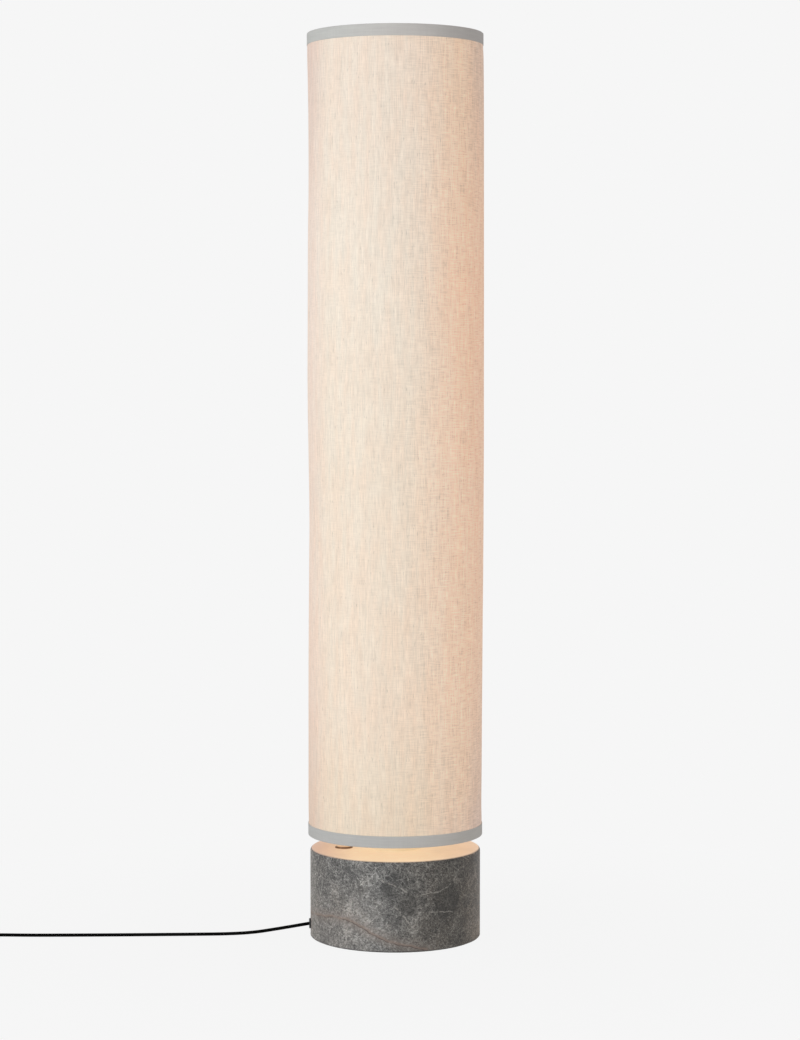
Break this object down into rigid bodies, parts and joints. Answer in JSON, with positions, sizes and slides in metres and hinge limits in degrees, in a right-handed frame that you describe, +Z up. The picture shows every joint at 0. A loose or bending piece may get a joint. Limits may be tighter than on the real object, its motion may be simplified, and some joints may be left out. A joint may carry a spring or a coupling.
{
  "type": "column floor lamp",
  "caption": "Column floor lamp: a tall linen drum shade that stands a finger's gap above a round veined marble base, with a dimmer button on the stone and a corded plug.",
  "frame": {"origin": "middle of the underside, on the floor", "axes": "+Z up along the lamp's axis; the cord and the dimmer button are on the -X side"},
  "size_m": [0.7603, 0.237, 1.2],
  "materials": {
    "marble": "satin",
    "felt": "matte",
    "black_steel": "satin",
    "zinc_steel": "satin",
    "brass": "satin",
    "aluminium": "satin",
    "white_enamel": "gloss",
    "linen": "matte",
    "liner": "matte",
    "ribbon": "matte",
    "opal": "satin",
    "led_board": "satin",
    "led_lens": "gloss",
    "spring_steel": "polished",
    "black_plastic": "satin",
    "white_plastic": "satin",
    "cord": "matte",
    "lead": "satin",
    "hook_strap": "matte"
  },
  "bodies": {
    "lamp": {"foot_pad": "felt", "marble_base": "marble", "cover_plate": "black_steel", "cover_screws": "zinc_steel", "cover_inserts": "brass", "cord_gland": "black_plastic", "gland_nut": "black_plastic", "mains_lead": "cord", "terminal_block": "white_plastic", "supply_lead": "lead", "led_driver": "white_plastic", "driver_screws": "zinc_steel", "led_lead": "lead", "dimmer_lead": "lead", "tie_rod": "zinc_steel", "rod_washer": "zinc_steel", "rod_nut": "zinc_steel", "column_foot": "white_enamel", "column_profile": "aluminium", "led_strips": "led_board", "led_chips": "led_lens", "diffuser_lower_cap": "white_plastic", "diffuser_tube": "opal", "diffuser_upper_cap": "white_plastic", "top_stud": "zinc_steel", "cap_nut": "zinc_steel", "hub_nut": "zinc_steel", "hub_washer": "zinc_steel", "finial_nut": "brass", "top_ring": "white_enamel", "bottom_ring": "white_enamel", "top_spider": "white_enamel", "bottom_spider": "white_enamel", "shade_liner": "liner", "shade_fabric": "linen", "top_trim": "ribbon", "bottom_trim": "ribbon", "button_barrel": "brass", "barrel_nut": "zinc_steel", "button_spring": "spring_steel", "dimmer_module": "black_plastic", "mains_cord": "cord", "cord_coil": "cord", "cord_tail": "cord", "coil_tie": "hook_strap", "plug_body": "black_plastic", "plug_blades": "brass"},
    "button": {"dimmer_button": "brass", "button_clip": "spring_steel"}
  },
  "joints": [
    {"name": "button_press", "type": "slide", "parent": "lamp", "child": "button", "axis": [0, 0, -1], "range_m": [0, 0.0008], "stiffness_N_per_m": 500, "springref_m": -0.006, "deforming": ["button_spring"]}
  ]
}
